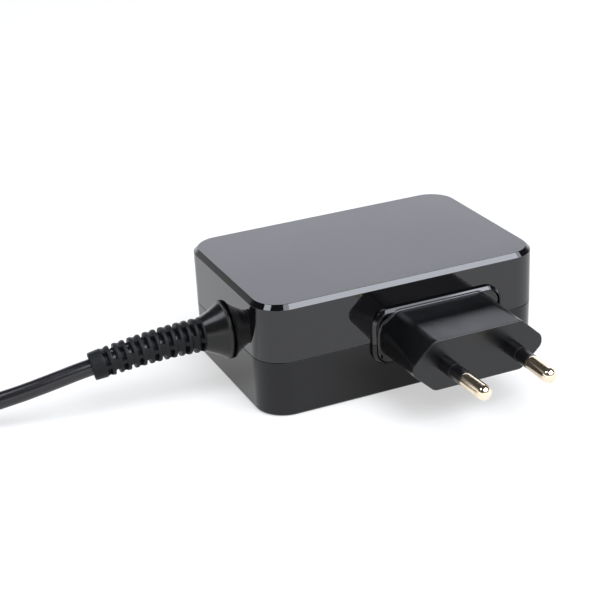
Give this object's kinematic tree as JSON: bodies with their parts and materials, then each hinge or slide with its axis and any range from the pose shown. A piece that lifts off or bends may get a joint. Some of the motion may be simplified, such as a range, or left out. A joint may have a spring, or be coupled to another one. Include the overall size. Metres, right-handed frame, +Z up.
{
  "type": "laptop power adapter",
  "caption": "Wall-plug power adapter for a laptop: a two-shell box with a fixed flat plug, a ribbed strain relief and a coiled output lead that ends in a barrel connector.",
  "frame": {"origin": "centre of the underside of the lower shell, on the surface it rests on", "axes": "+Z up through the satin top; the plug faces -Y; the output lead leaves the short wall at -X"},
  "size_m": [0.1951, 0.1343, 0.0302],
  "materials": {
    "shell": "glossy moulded walls with a satin top",
    "plug": "satin moulded plastic",
    "sleeve": "satin black plastic",
    "pin": "polished plated brass",
    "relief": "matte moulded rubber",
    "cord": "satin PVC jacket",
    "tie": "matte strap",
    "tinned_metal": "nickel-plated metal",
    "board": "green glass laminate",
    "sheet": "insulating paper",
    "package": "black moulded package",
    "bobbin": "black phenolic",
    "disc": "blue epoxy coating",
    "film": "grey film capacitor case",
    "ferrite": "dark ferrite",
    "copper": "enamelled copper wire",
    "can": "sleeved aluminium can",
    "tape": "yellow polyester tape",
    "aluminium": "bare sheet",
    "red_wire": "red wire insulation",
    "black_wire": "black wire insulation"
  },
  "bodies": {
    "root": {"upper_shell": "shell", "lower_shell": "shell", "plug_body": "plug", "pin_sleeve_left": "sleeve", "pin_sleeve_right": "sleeve", "plug_pin_left": "pin", "plug_pin_right": "pin", "pin_contact_left": "tinned_metal", "pin_contact_right": "tinned_metal", "strain_relief": "relief", "cord_lead": "cord", "cord_coil": "cord", "cord_tail": "cord", "coil_tie": "tie", "connector_grip": "relief", "connector_barrel": "tinned_metal", "connector_insulator": "sleeve", "connector_contact": "tinned_metal", "main_board": "board", "insulation_sheet": "sheet", "controller_chip": "package", "input_fuse": "package", "inrush_thermistor": "bobbin", "surge_varistor": "disc", "suppression_capacitor": "film", "bridge_rectifier": "package", "choke_core": "ferrite", "choke_winding_front": "copper", "choke_winding_back": "copper", "bulk_capacitor": "can", "transformer_core": "ferrite", "transformer_bobbin": "bobbin", "transformer_winding": "tape", "primary_switch": "package", "primary_heatsink": "aluminium", "output_rectifier": "package", "secondary_heatsink": "aluminium", "output_capacitor_1": "can", "output_capacitor_2": "can", "output_choke": "copper", "safety_capacitor": "disc", "optocoupler": "package", "output_wire_positive": "red_wire", "output_wire_return": "black_wire"}
  },
  "joints": []
}
